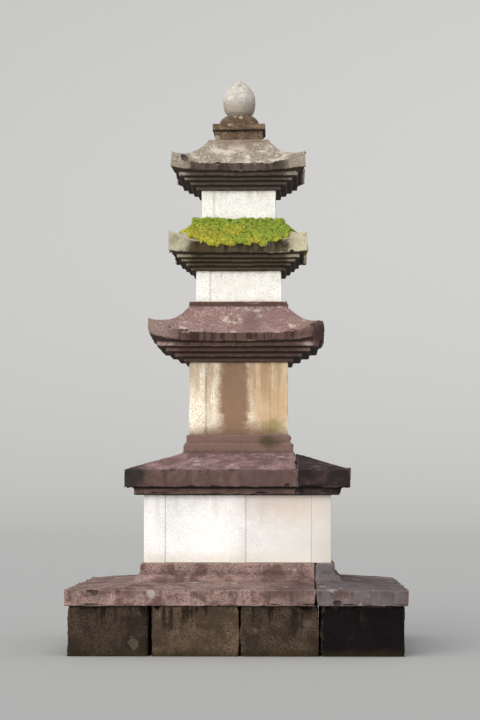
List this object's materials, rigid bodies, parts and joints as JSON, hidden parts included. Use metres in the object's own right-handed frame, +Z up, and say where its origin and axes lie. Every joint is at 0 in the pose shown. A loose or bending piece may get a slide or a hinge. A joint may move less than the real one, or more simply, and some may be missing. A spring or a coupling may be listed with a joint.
{
  "type": "stone pagoda",
  "caption": "Stone pagoda with stacked bodies and stepped, upturned roof stones on a two-tier platform, topped by a square finial base, a bowl and a jewel.",
  "frame": {"origin": "on the ground, under the middle of the pagoda", "axes": "+Z up along the stack; the front side in the picture faces -Y; +X to its right"},
  "size_m": [2.23, 2.23, 3.937],
  "materials": {
    "dark_stone": "damp granite, nearly black with lichen and soil stain",
    "cap_stone": "weathered granite with a reddish brown stain",
    "white_stone": "newly cut pale granite, finely tooled",
    "cream_stone": "cream granite with brown run-off stain",
    "pale_stone": "pale granite with light weathering",
    "roof_stone": "weathered granite, grey brown above and dark below",
    "mossy_roof_stone": "weathered granite under a mat of moss",
    "finial_stone": "brown weathered granite",
    "jewel_stone": "light grey granite, smoothly worn"
  },
  "bodies": {
    "root": {"course_corner_front_right": "dark_stone", "course_corner_back_right": "dark_stone", "course_corner_back_left": "dark_stone", "course_corner_front_left": "dark_stone", "course_front_a": "dark_stone", "course_front_b": "dark_stone", "course_right_a": "dark_stone", "course_right_b": "dark_stone", "course_back_a": "dark_stone", "course_back_b": "dark_stone", "course_left_a": "dark_stone", "course_left_b": "dark_stone", "lower_cap_front": "cap_stone", "lower_cap_right": "cap_stone", "lower_cap_back": "cap_stone", "lower_cap_left": "cap_stone", "wall_front": "white_stone", "wall_right": "white_stone", "wall_back": "white_stone", "wall_left": "white_stone", "upper_cap_main": "cap_stone", "upper_cap_right": "cap_stone", "first_body": "cream_stone", "second_body": "pale_stone", "third_body": "pale_stone", "first_roof": "roof_stone", "second_roof": "mossy_roof_stone", "third_roof": "roof_stone", "finial_base": "finial_stone", "finial_bowl": "finial_stone", "finial_jewel": "jewel_stone"}
  },
  "joints": []
}
